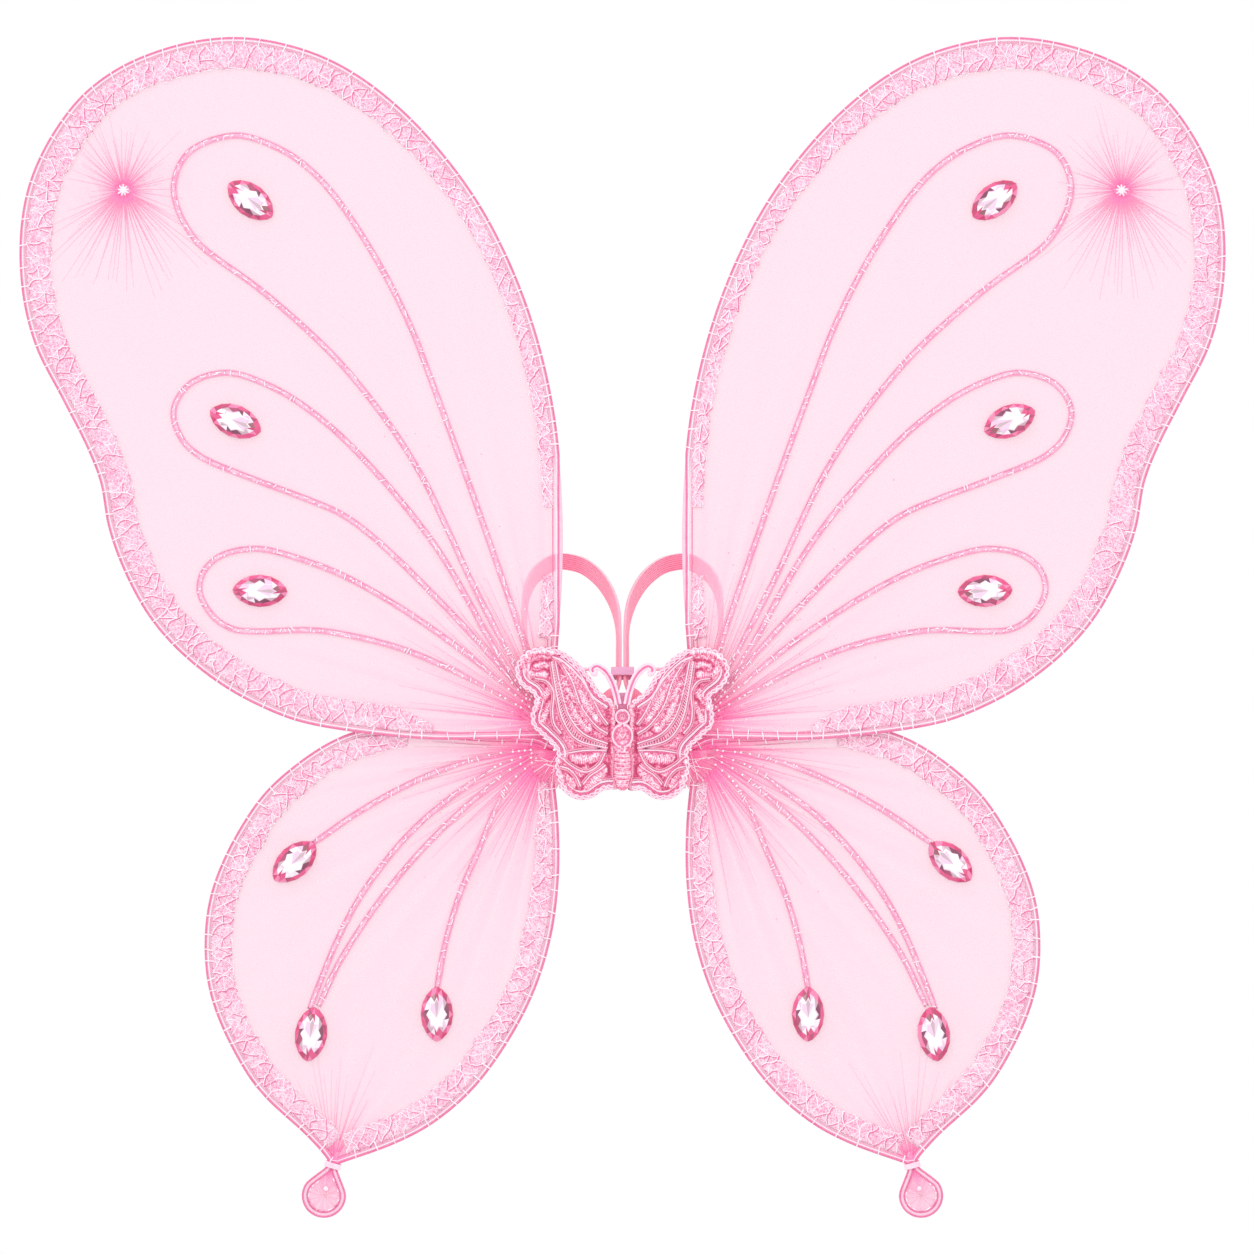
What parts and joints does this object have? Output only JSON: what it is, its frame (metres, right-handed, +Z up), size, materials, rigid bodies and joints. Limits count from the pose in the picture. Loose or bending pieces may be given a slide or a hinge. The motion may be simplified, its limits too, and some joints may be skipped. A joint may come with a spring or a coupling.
{
  "type": "fairy wings",
  "caption": "Costume fairy wings: sheer net over bent wire loops with lace edges, glitter veins and faceted gems, an embroidered butterfly at the centre and elastic shoulder straps.",
  "frame": {"origin": "centre of the flat rear face of the back pad, where the wings rest on the wearer's back", "axes": "+X across the wings towards the wearer's right, +Z up as worn, +Y out of the back pad towards the wearer, so the decorated face looks along -Y"},
  "size_m": [0.4796, 0.0819, 0.47],
  "materials": {
    "wire_wrap": "thread-wrapped wire, satin",
    "sheer_net": "sheer stretched nylon net",
    "lace": "glitter lace with a crackle pattern",
    "glitter_cord": "glitter cord with white dashes",
    "gem": "foil-backed, faceted",
    "bead": "pearly",
    "white_thread": "tied white thread",
    "felt": "soft felt",
    "hub_wrap": "gathered net bound over the wire ends",
    "embroidery": "raised satin-stitch embroidery",
    "elastic": "ribbed satin elastic",
    "lilac_satin": "satin ribbon"
  },
  "bodies": {
    "hub": {"back_pad": "felt", "wire_hub": "hub_wrap", "applique_body": "embroidery", "left_antenna": "embroidery", "left_strap": "elastic", "right_antenna": "embroidery", "right_strap": "elastic"},
    "slider": {"strap_slider": "lilac_satin"},
    "left_upper_wing": {"left_upper_frame": "wire_wrap", "left_upper_net": "sheer_net", "left_upper_lace": "lace", "left_upper_knot": "white_thread", "left_upper_binding": "white_thread", "left_upper_vein_1": "glitter_cord", "left_upper_vein_2": "glitter_cord", "left_upper_vein_3": "glitter_cord", "left_upper_top_gem": "gem", "left_upper_middle_gem": "gem", "left_upper_bottom_gem": "gem"},
    "left_lower_wing": {"left_lower_frame": "wire_wrap", "left_lower_net": "sheer_net", "left_lower_lace": "lace", "left_tail_net": "sheer_net", "left_tail_bead": "bead", "left_neck_binding": "white_thread", "left_lower_binding": "white_thread", "left_lower_vein_to_outer_gem": "glitter_cord", "left_lower_vein_front_to_tip_gem": "glitter_cord", "left_lower_vein_rear_to_tip_gem": "glitter_cord", "left_lower_vein_to_inner_gem": "glitter_cord", "left_lower_outer_gem": "gem", "left_lower_tip_gem": "gem", "left_lower_inner_gem": "gem"},
    "left_applique_flap": {"left_applique_wing": "embroidery"},
    "right_upper_wing": {"right_upper_frame": "wire_wrap", "right_upper_net": "sheer_net", "right_upper_lace": "lace", "right_upper_knot": "white_thread", "right_upper_binding": "white_thread", "right_upper_vein_1": "glitter_cord", "right_upper_vein_2": "glitter_cord", "right_upper_vein_3": "glitter_cord", "right_upper_top_gem": "gem", "right_upper_middle_gem": "gem", "right_upper_bottom_gem": "gem"},
    "right_lower_wing": {"right_lower_frame": "wire_wrap", "right_lower_net": "sheer_net", "right_lower_lace": "lace", "right_tail_net": "sheer_net", "right_tail_bead": "bead", "right_neck_binding": "white_thread", "right_lower_binding": "white_thread", "right_lower_vein_to_outer_gem": "glitter_cord", "right_lower_vein_front_to_tip_gem": "glitter_cord", "right_lower_vein_rear_to_tip_gem": "glitter_cord", "right_lower_vein_to_inner_gem": "glitter_cord", "right_lower_outer_gem": "gem", "right_lower_tip_gem": "gem", "right_lower_inner_gem": "gem"},
    "right_applique_flap": {"right_applique_wing": "embroidery"}
  },
  "joints": [
    {"name": "left_wing_fold", "type": "hinge", "parent": "hub", "child": "left_upper_wing", "pos_m": [-0.022, -0.0115, 0], "axis": [0, 0, 1], "range_deg": [0, 75]},
    {"name": "left_lower_wing_flex", "type": "hinge", "parent": "left_upper_wing", "child": "left_lower_wing", "pos_m": [-0.0245, -0.008, 0], "axis": [0, 0, 1], "range_deg": [-25, 0]},
    {"name": "left_applique_bend", "type": "hinge", "parent": "hub", "child": "left_applique_flap", "pos_m": [-0.006, -0.0194, 0], "axis": [0, 0, 1], "range_deg": [0, 60]},
    {"name": "right_wing_fold", "type": "hinge", "parent": "hub", "child": "right_upper_wing", "pos_m": [0.022, -0.0115, 0], "axis": [0, 0, -1], "range_deg": [0, 75]},
    {"name": "right_lower_wing_flex", "type": "hinge", "parent": "right_upper_wing", "child": "right_lower_wing", "pos_m": [0.0245, -0.008, 0], "axis": [0, 0, -1], "range_deg": [-25, 0]},
    {"name": "right_applique_bend", "type": "hinge", "parent": "hub", "child": "right_applique_flap", "pos_m": [0.006, -0.0194, 0], "axis": [0, 0, -1], "range_deg": [0, 60]},
    {"name": "strap_slider_slide", "type": "slide", "parent": "hub", "child": "slider", "axis": [0, 0.2667, 0.9638], "range_m": [-0.001, 0.01]}
  ],
  "couplings": [
    {"joint": "left_applique_bend", "follows": "left_wing_fold", "ratio": 0.8},
    {"joint": "right_applique_bend", "follows": "right_wing_fold", "ratio": 0.8}
  ]
}
